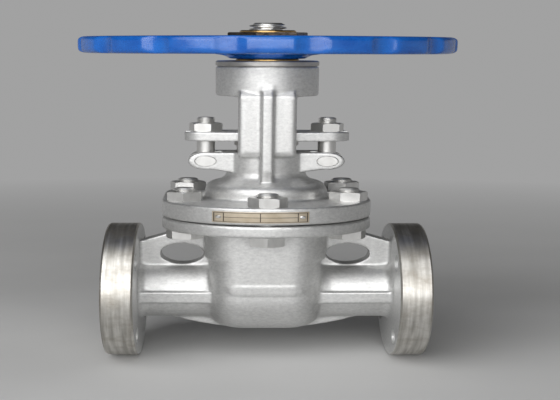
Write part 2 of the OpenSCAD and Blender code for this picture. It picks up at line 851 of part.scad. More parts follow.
module packing_ring(place) {
    bottom = box_floor + (place - 1) * packing_h;
    color(graphite_colour) valve_frame() ring(stem_r + fit, box_r, bottom, bottom + packing_h);
}

module gland_bushing() {
    color(bright_colour) valve_frame() difference() {
        union() {
            bar(box_r - fit, packing_top, gland_bottom - join);
            rotate_extrude() disc_profile(gland_collar_r, gland_bottom - gland_collar_t, gland_bottom, edge);
        }
        translate([0, 0, packing_top - cut_past])
            cylinder(r = stem_r + free_gap, h = gland_bottom - packing_top + 2 * cut_past);
    }
}

// The gland flange, with open-ended slots that the eyebolts swing into
module gland_flange() {
    slot_r = eyebolt_r + hole_slack;
    color(cast_colour) valve_frame() translate([0, 0, gland_bottom]) difference() {
        union() {
            cylinder(r = gland_r, h = gland_t);
            both_ends() linear_extrude(gland_t) tapered_link(gland_r, gland_end_r, eyebolt_x);
            both_ends() translate([eyebolt_x, 0, 0]) cylinder(r = gland_end_r, h = gland_t);
        }
        translate([0, 0, -cut_past]) cylinder(r = stem_r + 2 * hole_slack, h = gland_t + 2 * cut_past);
        both_ends() translate([eyebolt_x, 0, -cut_past]) {
            cylinder(r = slot_r, h = gland_t + 2 * cut_past);
            translate([0, -slot_r, 0]) cube([2 * gland_end_r, 2 * slot_r, gland_t + 2 * cut_past]);
        }
    }
}

// An eyebolt standing on its pin at the outlet side
module eyebolt() {
    translate([eyebolt_x, 0, 0]) difference() {
        union() {
            translate([0, 0, pin_z]) across(eye_t) circle(eye_r);
            bar(eyebolt_r, pin_z, eyebolt_top);
        }
        translate([0, 0, pin_z]) across(2 * eye_t) circle(pin_r + 2 * fit);
    }
}

module eyebolt_left() {
    color(bright_colour) valve_frame() mirror([1, 0, 0]) eyebolt();
}

module eyebolt_right() {
    color(bright_colour) valve_frame() eyebolt();
}

module eyebolt_pins() {
    half_pin = ear_t / 2 + pin_proud;
    color(bright_colour) valve_frame() both_ends() translate([eyebolt_x, 0, pin_z]) rotate([90, 0, 0])
        rotate_extrude() disc_profile(pin_r, -half_pin, half_pin, pin_proud);
}

module gland_nuts() {
    color(bright_colour) valve_frame() for (side = [0, 1])
        translate([(2 * side - 1) * eyebolt_x, 0, gland_top]) rotate([0, 0, gland_nut_turns[side]])
            hex_nut(gland_hex, gland_nut_h, eyebolt_r + fit);
}

// The key's shape, standing in the back of the yoke nut's sleeve
module key_block(slack) {
    translate([-key_w / 2 - slack, key_r - slack, wheel_bottom + key_lift])
        cube([key_w + 2 * slack, key_w + 2 * slack, key_l]);
}

module yoke_nut() {
    color(bronze_colour) valve_frame() difference() {
        union() {
            bar(yoke_nut_r, yoke_nut_bottom, wheel_bottom);
            bar(sleeve_r, thrust_top, sleeve_top);
            rotate_extrude() disc_profile(thrust_r, thrust_bottom, thrust_top, edge);
        }
        translate([0, 0, yoke_nut_bottom - cut_past])
            cylinder(r = stem_r + fit, h = sleeve_top - yoke_nut_bottom + 2 * cut_past);
        key_block(0);
    }
}

// A ring plate on the hub, with a spigot that holds the yoke nut's thrust collar down
module yoke_cap() {
    color(bright_colour) valve_frame() difference() {
        union() {
            rotate_extrude() disc_profile(hub_r, hub_top, cap_top, edge);
            translate([0, 0, thrust_top + fit]) cylinder(r = thrust_r, h = cap_top - thrust_top - edge);
        }
        translate([0, 0, thrust_bottom]) cylinder(r = yoke_nut_r + free_gap, h = hub_h);
    }
}

// Rim with a ring of finger grips scooped from its outer edge
module wheel_rim() {
    difference() {
        rotate_extrude() translate([wheel_r - rim_w / 2, rim_bottom + rim_h / 2])
            rounded_rect(rim_w, rim_h, rim_round);
        for (i = [0 : grips - 1]) rotate([0, 0, (i + 0.5) * 360 / grips])
            translate([wheel_r + grip_r - grip_depth, 0, rim_bottom - cut_past])
                cylinder(r = grip_r, h = rim_h + 2 * cut_past);
    }
}

// One spoke along +X, rising from the hub to the rim and narrowing on its way
module spoke() {
    start_r = sleeve_r + spoke_root;
    end_r = rim_in_r + rim_round;
    intersection() {
        across(2 * spoke_w) polygon([[start_r, spoke_foot_z], [spoke_knee_r, spoke_knee_z],
            [end_r, spoke_end_z], [end_r, spoke_end_z + spoke_t], [spoke_knee_r, spoke_knee_z + spoke_t],
            [start_r, spoke_foot_z + spoke_t + spoke_foot_extra_t]]);
        linear_extrude(stem_top) polygon([[0, -spoke_w / 2], [end_r, -spoke_end_w / 2],
            [end_r, spoke_end_w / 2], [0, spoke_w / 2]]);
    }
}

module handwheel() {
    color(wheel_colour) valve_frame() difference() {
        union() {
            wheel_rim();
            for (i = [0 : spokes - 1]) rotate([0, 0, 90 + i * 360 / spokes]) spoke();
            rotate_extrude() disc_profile(wheel_hub_r, wheel_bottom, wheel_hub_top, 2 * edge);
        }
        translate([0, 0, wheel_bottom - cut_past])
            cylinder(r = sleeve_r + fit, h = wheel_hub_h + 2 * cut_past);
        key_block(fit);
    }
}

module handwheel_key() {
    color(bright_colour) valve_frame() key_block(0);
}

module handwheel_nut() {
    color(black_colour) valve_frame() translate([0, 0, wheel_hub_top]) rotate([0, 0, wheel_nut_turn])
        hex_nut(wheel_nut_af, wheel_nut_h, sleeve_r + fit);
}

body();
seat_ring_inlet();
seat_ring_outlet();
wedge();
stem();
bonnet_gasket();
bonnet();
bonnet_bolts();
bonnet_nuts();
nameplate();
nameplate_rivets();
backseat_bushing();
packing_ring(1);  // packing_ring_1
packing_ring(2);  // packing_ring_2
packing_ring(3);  // packing_ring_3
packing_ring(4);  // packing_ring_4
packing_ring(5);  // packing_ring_5
gland_bushing();
gland_flange();
eyebolt_left();
eyebolt_right();
eyebolt_pins();
gland_nuts();
yoke_nut();
yoke_cap();
handwheel();
handwheel_key();
handwheel_nut();
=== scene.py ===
"""Looks of a flanged gate valve: cast stainless body and bonnet, bright turned flanges, blue handwheel."""

import json
import math

import bmesh
import bpy
import numpy as np
from mathutils import Matrix, Vector


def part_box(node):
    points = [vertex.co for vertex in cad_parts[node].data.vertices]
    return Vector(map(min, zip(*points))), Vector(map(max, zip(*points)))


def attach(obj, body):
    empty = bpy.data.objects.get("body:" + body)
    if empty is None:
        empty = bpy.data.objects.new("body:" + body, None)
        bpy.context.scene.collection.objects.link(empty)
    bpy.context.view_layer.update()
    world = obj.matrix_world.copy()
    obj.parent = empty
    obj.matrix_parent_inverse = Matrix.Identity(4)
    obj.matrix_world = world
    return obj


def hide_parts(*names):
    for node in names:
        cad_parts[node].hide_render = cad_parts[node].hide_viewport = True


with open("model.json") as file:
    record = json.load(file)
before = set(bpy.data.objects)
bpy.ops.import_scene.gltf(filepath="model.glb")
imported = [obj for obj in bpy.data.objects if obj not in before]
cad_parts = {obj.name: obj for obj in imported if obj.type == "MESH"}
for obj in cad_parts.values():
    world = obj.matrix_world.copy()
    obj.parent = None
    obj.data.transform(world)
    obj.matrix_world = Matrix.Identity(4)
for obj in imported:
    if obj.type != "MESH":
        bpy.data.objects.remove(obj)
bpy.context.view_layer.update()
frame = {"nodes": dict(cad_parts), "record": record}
nodes = frame["nodes"]

MM = 0.001

# Places that the frame gives, in metres
body_low, body_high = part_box("body")
gland_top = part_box("gland_bushing")[1].z
wheel_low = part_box("handwheel")[0].z
hub_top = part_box("bonnet")[1].z
flange_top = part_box("bonnet_nuts")[0].z
gland_nut_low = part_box("gland_nuts")[0].z
pins_low, pins_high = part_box("eyebolt_pins")
axis_x = (body_low.x + body_high.x) / 2
floor_z = body_low.z

# End flanges: thickness with the raised face, that face's height, outer radius, and depth of the turned rim
flange_t = 19 * MM
raised_face_h = 1.6 * MM
flange_r = 76.2 * MM
rim_depth = 1.2 * MM

# Joint flange: half the distance between the centres of its round ends
flange_gap = 20 * MM

# Chamber: half its width, corner radius and wall
chamber_half_x = 30.4 * MM
chamber_corner = 18 * MM
chamber_wall = 5 * MM

# Bare pad on the chamber's front: width, height, place over the bore, depth of that front, and relief
pad_w = 41 * MM
pad_h = 10.5 * MM
pad_z = 11.5 * MM
pad_depth = 44.9 * MM
pad_proud = 0.5 * MM

# Yoke: the hub's lower edge, half widths of a rib, of the cut over it, of an arm's shoulder, of the undercut
hub_low = hub_top - 32.5 * MM
rib_half_w = 3 * MM
rib_cut_half_w = 5 * MM
shoulder_half_w = 14.6 * MM
undercut_half_w = 17 * MM

# Stuffing box: radius, and length of the bar that keeps it out of a cut
box_r = 21.6 * MM
box_keep_h = 60 * MM

# Ears and pins: the ears' half thickness and wall, the pins' radius and places, a plug's lap, a bore's play
ear_half_t = 12.5 * MM
ear_wall = 6 * MM
pin_r = 6 * MM
pin_z = (pins_low.z + pins_high.z) / 2
pin_places = (pins_low.x + pin_r, pins_high.x - pin_r)
plug_lap = 0.8 * MM
bore_play = 0.06 * MM

# Handwheel: the radius within which and the height over which nothing moves, and how far the rest moves down
wheel_hub_r = 24 * MM
wheel_split_z = wheel_low + 14.4 * MM
wheel_drop = 3 * MM

# Nameplate's lines: margin, width and height
line_margin = 0.8 * MM
line_w = 0.45 * MM
line_proud = 0.12 * MM

# Threads: start, radius, pitch and depth
stem_thread = (gland_top + 4 * MM, 10 * MM, 4 * MM, 2.25 * MM)
bonnet_bolt_thread = (flange_top + 1 * MM, 6 * MM, 1.75 * MM, 1.07 * MM)
eyebolt_thread = (gland_nut_low + 1 * MM, 5 * MM, 1.5 * MM, 0.92 * MM)
crest_play = 0.03 * MM

# Bolt heads under the joint: how much taller they are, and the height within which their points move
head_drop = 2.5 * MM
head_reach = 2 * MM

# Castings: size of the skin's mesh, and how often it is relaxed
body_skin = (1.0 * MM, 5)
bonnet_skin = (0.9 * MM, 3)
gland_skin = (0.7 * MM, 3)
wheel_skin = (1.1 * MM, 5)

# Angles from which an edge stays sharp
body_sharp = math.radians(35)
thread_sharp = math.radians(38)
casting_sharp = math.radians(60)

# Weld of doubled points before and after cuts and joins, room round a cutting block, and lap of joined blocks
weld_reach = 0.001 * MM
flap_reach = 0.0001 * MM
cut_room = Vector((1, 1, 1)) * 2 * MM
join_lap = 0.05 * MM

# Lamps, in metres and degrees: target, distance, then each one's azimuth, elevation, size and watts
lamp_target = Vector((axis_x, 0, 0.12))
lamp_distance = 1.7
key_lamp = (-27, 45, (1.7, 1.7), 22)
front_lamp = (-9, 14, (2.5, 0.72), 19)

# Backdrop and room levels, the floor's half width, and the distances over which it fades into the backdrop
backdrop_level = 0.36
room_level = 0.04
floor_half_w = 6.0
floor_fade = (0.3, 1.2)


# Small helpers for node trees

def new_material(name):
    """A material with its node tree and its shader."""
    material = bpy.data.materials.new(name)
    material.use_nodes = True
    return material, material.node_tree, material.node_tree.nodes["Principled BSDF"]


def put(tree, kind, inputs=None, **settings):
    """Adds a node, sets its properties, and sets or links its inputs."""
    node = tree.nodes.new(kind)
    for name, value in settings.items():
        setattr(node, name, value)
    for name, value in (inputs or {}).items():
        if isinstance(value, bpy.types.NodeSocket):
            tree.links.new(value, node.inputs[name])
        else:
            node.inputs[name].default_value = value
    return node


def place(tree, stretch=(1, 1, 1)):
    """Coordinates in metres that ride with the piece, scaled along each axis."""
    coords = put(tree, "ShaderNodeTexCoord").outputs["Object"]
    return put(tree, "ShaderNodeMapping", {"Vector": coords, "Scale": stretch}).outputs["Vector"]


def noise(tree, scale, detail=3.0, stretch=(1, 1, 1), roughness=0.5):
    """Noise with features of about 1 / scale metres."""
    inputs = {"Vector": place(tree, stretch), "Scale": scale, "Detail": detail, "Roughness": roughness}
    return put(tree, "ShaderNodeTexNoise", inputs).outputs["Fac"]


def spread(tree, value, low, high, from_low=0.3, from_high=0.7):
    """Turns a value between from_low and from_high into one between low and high."""
    inputs = {"Value": value, "From Min": from_low, "From Max": from_high, "To Min": low, "To Max": high}
    return put(tree, "ShaderNodeMapRange", inputs).outputs["Result"]


def two_tone(tree, value, first, second, start=0.35, end=0.65):
    """A colour that runs from first to second."""
    ramp = put(tree, "ShaderNodeValToRGB", {"Fac": value})
    stops = ramp.color_ramp.elements
    stops[0].position = start
    stops[0].color = (*first, 1)
    stops[1].position = end
    stops[1].color = (*second, 1)
    return ramp.outputs["Color"]


def bump(tree, height, distance, strength, under=None):
    """Relief from a height, over other relief if there is any."""
    inputs = {"Height": height, "Distance": distance, "Strength": strength}
    if under is not None:
        inputs["Normal"] = under
    return put(tree, "ShaderNodeBump", inputs).outputs["Normal"]


def math_node(tree, operation, first, second):
    """One step of arithmetic on two values."""
    return put(tree, "ShaderNodeMath", {0: first, 1: second}, operation=operation).outputs["Value"]


def finish_shader(tree, shader, **inputs):
    """Sets or links the shader's inputs, with spaces in their names written as underscores."""
    for name, value in inputs.items():
        socket = shader.inputs[name.replace("_", " ")]
        if isinstance(value, bpy.types.NodeSocket):
            tree.links.new(value, socket)
        else:
            socket.default_value = value


# Materials

def cast_stainless():
    """Blasted and pickled casting: fine grain over soft waves, a little darker in patches."""
    material, tree, shader = new_material("cast_stainless")
    waves = bump(tree, noise(tree, 90, 2), 0.25 * MM, 0.25)
    peel = bump(tree, noise(tree, 620, 3), 0.12 * MM, 0.35, waves)
    grain = bump(tree, noise(tree, 1900, 3, roughness=0.7), 0.09 * MM, 0.7, peel)
    mottle = noise(tree, 420, 5, roughness=0.7)
    patches = two_tone(tree, mottle, (0.61, 0.61, 0.605), (0.75, 0.75, 0.74))
    finish_shader(tree, shader, Base_Color=patches, Metallic=1.0,
                  Roughness=spread(tree, noise(tree, 320, 3), 0.47, 0.57), Normal=grain)
    return material


def turned_steel():
    """Flange rims and faces off the lathe: fine rings about the pipe's axis, dull smears and stains."""
    material, tree, shader = new_material("turned_steel")
    rings = noise(tree, 1, 3, (2400, 6, 6))
    bands = noise(tree, 1, 2, (420, 22, 22))
    stains = noise(tree, 46, 6, roughness=0.7)
    bare = two_tone(tree, bands, (0.40, 0.385, 0.355), (0.65, 0.635, 0.60))
    dull = (0.33, 0.30, 0.255, 1)
    inputs = {"Factor": spread(tree, stains, 0.0, 0.75, 0.46, 0.70), "A": bare, "B": dull}
    tone = put(tree, "ShaderNodeMix", inputs, data_type="RGBA").outputs["Result"]
    finish_shader(tree, shader, Base_Color=tone, Metallic=1.0,
                  Roughness=spread(tree, stains, 0.34, 0.50),
                  Normal=bump(tree, rings, 0.02 * MM, 0.35))
    return material


def machined_steel():
    """Grey machined steel with fine rings about the stem's axis."""
    material, tree, shader = new_material("machined_steel")
    rings = noise(tree, 1, 3, (8, 8, 2200))
    tone = two_tone(tree, noise(tree, 140, 3), (0.42, 0.41, 0.395), (0.53, 0.52, 0.505))
    finish_shader(tree, shader, Base_Color=tone, Metallic=1.0,
                  Roughness=spread(tree, rings, 0.36, 0.48), Normal=bump(tree, rings, 0.02 * MM, 0.3))
    return material


def polished_stem():
    """Smooth bright steel with faint rings about the stem's axis."""
    material, tree, shader = new_material("polished_stem")
    rings = noise(tree, 1, 2, (6, 6, 1800))
    tone = two_tone(tree, noise(tree, 200, 3), (0.60, 0.60, 0.59), (0.70, 0.70, 0.69))
    finish_shader(tree, shader, Base_Color=tone, Metallic=1.0,
                  Roughness=spread(tree, rings, 0.26, 0.38), Normal=bump(tree, rings, 0.01 * MM, 0.25))
    return material


def fastener_steel():
    """Cold-forged stainless: satin, with faint smears from the die."""
    material, tree, shader = new_material("fastener_steel")
    smears = noise(tree, 160, 3, (1, 1, 0.35))
    tone = two_tone(tree, smears, (0.68, 0.675, 0.66), (0.77, 0.765, 0.75))
    finish_shader(tree, shader, Base_Color=tone, Metallic=1.0,
                  Roughness=spread(tree, noise(tree, 300, 3), 0.38, 0.47),
                  Normal=bump(tree, noise(tree, 500, 2), 0.01 * MM, 0.25))
    return material


def graphite():
    """Black packing with a fine, dull grain."""
    material, tree, shader = new_material("graphite")
    tone = two_tone(tree, noise(tree, 900, 4), (0.012, 0.012, 0.013), (0.035, 0.035, 0.037))
    finish_shader(tree, shader, Base_Color=tone, Metallic=0.0, Roughness=0.75,
                  Normal=bump(tree, noise(tree, 1600, 3), 0.05 * MM, 0.5))
    return material


def nameplate_bronze():
    """Brushed bronze plate, tarnished in soft patches."""
    material, tree, shader = new_material("nameplate_bronze")
    brushed = noise(tree, 1, 3, (60, 60, 3200))
    tarnish = two_tone(tree, noise(tree, 60, 4), (0.50, 0.41, 0.29), (0.75, 0.66, 0.53))
    finish_shader(tree, shader, Base_Color=tarnish, Metallic=1.0,
                  Roughness=spread(tree, brushed, 0.30, 0.44), Normal=bump(tree, brushed, 0.012 * MM, 0.3))
    return material


def yoke_bronze():
    """Turned bronze, darker in patches."""
    material, tree, shader = new_material("yoke_bronze")
    rings = noise(tree, 1, 3, (8, 8, 1900))
    tone = two_tone(tree, noise(tree, 160, 4), (0.36, 0.22, 0.08), (0.62, 0.42, 0.18))
    finish_shader(tree, shader, Base_Color=tone, Metallic=1.0,
                  Roughness=spread(tree, rings, 0.22, 0.36), Normal=bump(tree, rings, 0.02 * MM, 0.3))
    return material


def blue_paint():
    """Thick gloss enamel over a sand casting: soft waves and a fine peel."""
    material, tree, shader = new_material("blue_paint")
    waves = bump(tree, noise(tree, 90, 2), 0.5 * MM, 0.3)
    peel = bump(tree, noise(tree, 520, 2), 0.05 * MM, 0.3, waves)
    tone = two_tone(tree, noise(tree, 55, 3), (0.003, 0.080, 0.37), (0.009, 0.122, 0.48))
    finish_shader(tree, shader, Base_Color=tone, Metallic=0.0,
                  Roughness=spread(tree, noise(tree, 180, 3), 0.22, 0.34), Normal=peel)
    shader.inputs["Coat Weight"].default_value = 0.3
    shader.inputs["Coat Roughness"].default_value = 0.12
    return material


def blackened_steel():
    """Heat-blackened steel with brown wear."""
    material, tree, shader = new_material("blackened_steel")
    tone = two_tone(tree, noise(tree, 240, 4), (0.045, 0.036, 0.030), (0.14, 0.115, 0.095))
    finish_shader(tree, shader, Base_Color=tone, Metallic=0.9,
                  Roughness=spread(tree, noise(tree, 500, 3), 0.30, 0.48),
                  Normal=bump(tree, noise(tree, 700, 3), 0.04 * MM, 0.4))
    return material


makers = (cast_stainless, machined_steel, polished_stem, fastener_steel, graphite, nameplate_bronze,
          yoke_bronze, blue_paint, blackened_steel)
materials = {maker.__name__: maker() for maker in makers}
turned = turned_steel()


def dress_nodes():
    """Gives each CAD node the material of its slot in the record."""
    for part in frame["record"]["subparts"]:
        slots = nodes[part["node"]].data.materials
        slots.clear()
        slots.append(materials[part["material_slot"]])


dress_nodes()


# Castings and threads: forms that the bare solids don't show

def welded_mesh(node):
    """A plain copy of a node's mesh with its doubled points joined."""
    form = bmesh.new()
    form.from_mesh(nodes[node].data)
    bmesh.ops.remove_doubles(form, verts=form.verts, dist=weld_reach)
    form.verts.index_update()
    points = [point.co[:] for point in form.verts]
    faces = [[point.index for point in face.verts] for face in form.faces]
    mesh = bpy.data.meshes.new(node + "_copy")
    mesh.from_pydata(points, [], faces)
    form.free()
    return mesh


def outward(mesh):
    """Turns every face of a closed mesh outward."""
    form = bmesh.new()
    form.from_mesh(mesh)
    bmesh.ops.recalc_face_normals(form, faces=form.faces)
    form.to_mesh(mesh)
    form.free()


def add_object(name, mesh):
    """Puts a mesh into the scene."""
    obj = bpy.data.objects.new(name, mesh)
    bpy.context.scene.collection.objects.link(obj)
    return obj


def work_in(obj):
    """Applies the object's modifiers to its mesh."""
    graph = bpy.context.evaluated_depsgraph_get()
    mesh = bpy.data.meshes.new_from_object(obj.evaluated_get(graph))
    obj.modifiers.clear()
    obj.data = mesh


def combine(obj, other, operation):
    """Joins or cuts a closed mesh with another, which is used up."""
    step = obj.modifiers.new("combine", "BOOLEAN")
    step.operation = operation
    step.solver = "MANIFOLD"
    step.object = other
    work_in(obj)
    bpy.data.objects.remove(other)


def drop_flaps(obj):
    """Removes pairs of faces that a cut or a join left back to back on the same points."""
    form = bmesh.new()
    form.from_mesh(obj.data)
    bmesh.ops.remove_doubles(form, verts=form.verts, dist=flap_reach)
    bmesh.ops.triangulate(form, faces=form.faces)
    groups = {}
    for face in form.faces:
        groups.setdefault(frozenset(face.verts), []).append(face)
    doubled = [face for group in groups.values() if len(group) > 1 for face in group]
    bmesh.ops.delete(form, geom=doubled, context="FACES")
    form.to_mesh(obj.data)
    form.free()


def block(low, high):
    """A box between two corners."""
    form = bmesh.new()
    bmesh.ops.create_cube(form, size=1)
    for point in form.verts:
        point.co = [a + (b - a) * (c + 0.5) for a, b, c in zip(low, high, point.co)]
    mesh = bpy.data.meshes.new("block")
    form.to_mesh(mesh)
    form.free()
    return add_object("block", mesh)


def rod(name, middle, radius, length, along_y=False):
    """A closed round bar about a middle, upright or along Y."""
    form = bmesh.new()
    bmesh.ops.create_cone(form, cap_ends=True, segments=96, radius1=radius, radius2=radius, depth=length)
    mesh = bpy.data.meshes.new(name)
    form.to_mesh(mesh)
    form.free()
    turn = Matrix.Rotation(math.pi / 2 if along_y else 0, 4, "X")
    mesh.transform(Matrix.Translation(middle) @ turn)
    return add_object(name, mesh)


def relax(mesh, passes):
    """Draws each point half way to the middle of its neighbours, again and again."""
    points = np.empty(len(mesh.vertices) * 3)
    mesh.vertices.foreach_get("co", points)
    points = points.reshape(-1, 3)
    ends = np.empty(len(mesh.edges) * 2, dtype=np.int64)
    mesh.edges.foreach_get("vertices", ends)
    first, second = ends.reshape(-1, 2).T
    start = np.concatenate((first, second))
    finish = np.concatenate((second, first))
    count = np.bincount(start, minlength=len(points))
    for _ in range(passes):
        for axis in range(3):
            total = np.bincount(start, points[finish, axis], len(points))
            points[:, axis] += 0.5 * (total / count - points[:, axis])
    mesh.vertices.foreach_set("co", points.ravel())
    mesh.update()


def rounded_ring(half_x, half_y, corner, z):
    """Points round a rectangle with round corners, about the stem's axis."""
    steps = 16
    ring = []
    for quarter, (side_x, side_y) in enumerate(((1, 1), (-1, 1), (-1, -1), (1, -1))):
        for step in range(steps + 1):
            angle = math.pi / 2 * (quarter + step / steps)
            x = axis_x + side_x * (half_x - corner) + corner * math.cos(angle)
            y = side_y * (half_y - corner) + corner * math.sin(angle)
            ring.append((x, y, z))
    return ring


def loft(name, rings):
    """A closed skin over rings of points, the last of which runs back into the first."""
    count = len(rings[0])
    faces = []
    for row in range(len(rings)):
        low, high = row * count, (row + 1) % len(rings) * count
        for column in range(count):
            beside = (column + 1) % count
            faces.append((low + column, low + beside, high + beside, high + column))
    mesh = bpy.data.meshes.new(name)
    mesh.from_pydata([point for ring in rings for point in ring], [], faces)
    outward(mesh)
    return add_object(name, mesh)


def chamber_band(name, rows, proud):
    """A wall along the chamber's outline, from rows of half depth and height, proud of it by a little."""
    half_x, corner = chamber_half_x + proud, chamber_corner + proud
    rings = [rounded_ring(half_x, depth + proud, corner, z) for depth, z in rows]
    for depth, z in reversed(rows):
        inner_depth = depth + proud - chamber_wall
        rings.append(rounded_ring(half_x - chamber_wall, inner_depth, corner - chamber_wall, z))
    return loft(name, rings)


def chamber_taper():
    """Lets the chamber's upright walls run into the drum below, where the solids meet in a crease.
    Each row is half the depth and the height over the bore's axis, in mm.
    Under the axis it hides in the drum."""
    rows = ((44.1, -8), (44.75, -4), (45, 0), (44.5, 47))
    return chamber_band("chamber_taper", [(depth * MM, z * MM) for depth, z in rows], 0)


def front_pad():
    """The bare pad with round ends on the chamber's front, following the chamber's outline."""
    edges = (pad_z - pad_h, pad_z + pad_h)
    pad = chamber_band("front_pad", [(pad_depth, z) for z in edges], pad_proud)
    run, reach = (pad_w - pad_h) / 2, 2 * chamber_wall
    low = (axis_x - run, -pad_depth - reach, pad_z - pad_h / 2)
    high = (axis_x + run, -pad_depth + reach, pad_z + pad_h / 2)
    shape = block(low, high)
    for side in (-1, 1):
        end = rod("pad_end", (axis_x + side * run, -pad_depth, pad_z), pad_h / 2, 2 * reach, along_y=True)
        combine(shape, end, "UNION")
    combine(pad, shape, "INTERSECT")
    return pad


def bar(name, start, end, profile, side, base):
    """A closed bar along X between two places, from a profile of Y and Z points in mm over a base height.
    Side 1 is the back and side -1 is the front, where the profile is mirrored."""
    count = len(profile)
    points = []
    for x in (axis_x + start, axis_x + end):
        points += [(x, side * y * MM, base + z * MM) for y, z in profile]
    faces = [tuple(range(count)), tuple(range(count, 2 * count))]
    for point in range(count):
        beside = (point + 1) % count
        faces.append((point, beside, beside + count, point + count))
    mesh = bpy.data.meshes.new(name)
    mesh.from_pydata(points, [], faces)
    outward(mesh)
    return add_object(name, mesh)


def arm_shoulders():
    """Sloped shoulders from the yoke arms' front and back faces into the round hub."""
    profile = ((20, -3), (28.5, -3), (28.5, 0), (27.2, 3), (25.6, 5.4), (23.4, 7.4), (20, 8.4))
    half_w = shoulder_half_w
    return [bar("arm_shoulder", -half_w, half_w, profile, side, hub_low) for side in (-1, 1)]


def rib_slopes():
    """What is cut off the yoke ribs' tops, so that they slope into the hub."""
    profile = ((33, -1), (40, -1), (40, 16), (28, 16), (28, 9), (30.4, 3.5))
    half_w = rib_cut_half_w
    return [bar("rib_slope", -half_w, half_w, profile, side, hub_low) for side in (-1, 1)]


def arm_undercuts():
    """What is cut from under the yoke arms beside their ribs, down to the round stuffing box."""
    profile = ((13.5, -14), (31, -14), (31, 13), (28.6, 11.8),
               (27.4, 8.4), (25, 6.2), (22, 5.5), (13.5, 5.5))
    cuts = []
    for side in (-1, 1):
        for start, end in ((-undercut_half_w, -rib_half_w), (rib_half_w, undercut_half_w)):
            cut = bar("arm_undercut", start, end, profile, side, pin_z)
            combine(cut, rod("box", (axis_x, 0, pin_z), box_r, box_keep_h), "DIFFERENCE")
            cuts.append(cut)
    return cuts


def pin_plugs():
    """Discs that fill the pin holes in the ears, to be bored again once the edges are soft."""
    ear_middles = (ear_half_t - ear_wall / 2, ear_wall / 2 - ear_half_t)
    return [rod("plug", (x, y, pin_z), pin_r + plug_lap, ear_wall, along_y=True)
            for x in pin_places for y in ear_middles]


def pin_bores():
    """What is bored out of the ears for the pins."""
    through = 2.5 * ear_half_t
    return [rod("bore", (x, 0, pin_z), pin_r + bore_play, through, along_y=True) for x in pin_places]


def dome_blend():
    """Fuller shoulder on the bonnet's dome and a wide fillet from it up to the stuffing box.
    Each row is the radius, half the distance between the round ends' centres, and the height over the
    flange, in mm: up the outside, then down the inside."""
    rows = ((33.3, 10, -0.3), (33.3, 10, 8), (32.7, 10, 10.8), (31.2, 10, 13.2), (29, 9.5, 15),
            (26.4, 7, 16.7), (24.2, 3.5, 19), (22.5, 1, 22), (21.7, 0, 26),
            (19, 0, 26), (19, 2, 15), (28, 10, 8), (29, 10, -0.3))
    rings = [rounded_ring(r * MM, (r + gap) * MM, r * MM, flange_top + z * MM) for r, gap, z in rows]
    return loft("dome_blend", rings)


def remesh(obj, voxel, passes):
    """Gives a closed mesh an even skin, and rounds its edges and inner corners."""
    step = obj.modifiers.new("remesh", "REMESH")
    step.mode = "VOXEL"
    step.voxel_size = voxel
    work_in(obj)
    relax(obj.data, passes)


def softened(node, voxel, passes, additions=(), cuts=()):
    """A copy of a node's solid with the rounded edges and inner fillets of a casting."""
    obj = add_object(node + "_casting", welded_mesh(node))
    for cut in cuts:
        combine(obj, cut, "DIFFERENCE")
    for addition in additions:
        combine(obj, addition, "UNION")
    remesh(obj, voxel, passes)
    return obj


def smooth_shading(obj, sharp_angle=None):
    """Shades a mesh smoothly, apart from edges that are sharper than the angle."""
    mesh = obj.data
    mesh.polygons.foreach_set("use_smooth", [True] * len(mesh.polygons))
    if sharp_angle is not None:
        mesh.set_sharp_from_angle(angle=sharp_angle)


def dress(obj, slot):
    """Gives a piece the material of a slot alone."""
    obj.data.materials.clear()
    obj.data.materials.append(materials[slot])


def stand_for(obj, node, body):
    """Lets a piece take a node's place."""
    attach(obj, body)
    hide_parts(node)


def body_casting():
    """Cast middle with soft edges between two crisp flanges, turned on the rims and faces."""
    obj = softened("body", *body_skin, [chamber_taper(), front_pad()])
    low, high = body_low - cut_room, body_high + cut_room
    inlet_back, outlet_back = body_low.x + flange_t, body_high.x - flange_t
    middle_block = block((inlet_back + join_lap, low.y, low.z), (outlet_back - join_lap, high.y, high.z))
    combine(obj, middle_block, "INTERSECT")
    for start, end in ((low.x, inlet_back + 2 * join_lap), (outlet_back - 2 * join_lap, high.x)):
        flange = add_object("flange", welded_mesh("body"))
        combine(flange, block((start, low.y, low.z), (end, high.y, high.z)), "INTERSECT")
        combine(obj, flange, "UNION")
    drop_flaps(obj)
    smooth_shading(obj, body_sharp)
    mesh = obj.data
    mesh.materials.clear()
    mesh.materials.append(materials["cast_stainless"])
    mesh.materials.append(turned)
    for face in mesh.polygons:
        x, y, z = face.center
        from_end = min(x - body_low.x, body_high.x - x)
        near_face = from_end < raised_face_h + join_lap
        on_rim = math.hypot(y, z) > flange_r - rim_depth and from_end < flange_t - join_lap
        face.material_index = int(near_face or on_rim)
    stand_for(obj, "body", "valve")


def plate_strip(left, right, bottom, top, radius, proud):
    """Corners of a thin bar on a round side, between two angles and two heights, four at each step."""
    steps = 40
    inner, outer = radius - proud, radius + proud
    rows = []
    for step in range(steps + 1):
        angle = left + (right - left) * step / steps
        for r, z in ((inner, bottom), (outer, bottom), (outer, top), (inner, top)):
            rows.append((axis_x + r * math.sin(angle), -flange_gap - r * math.cos(angle), z))
    return rows


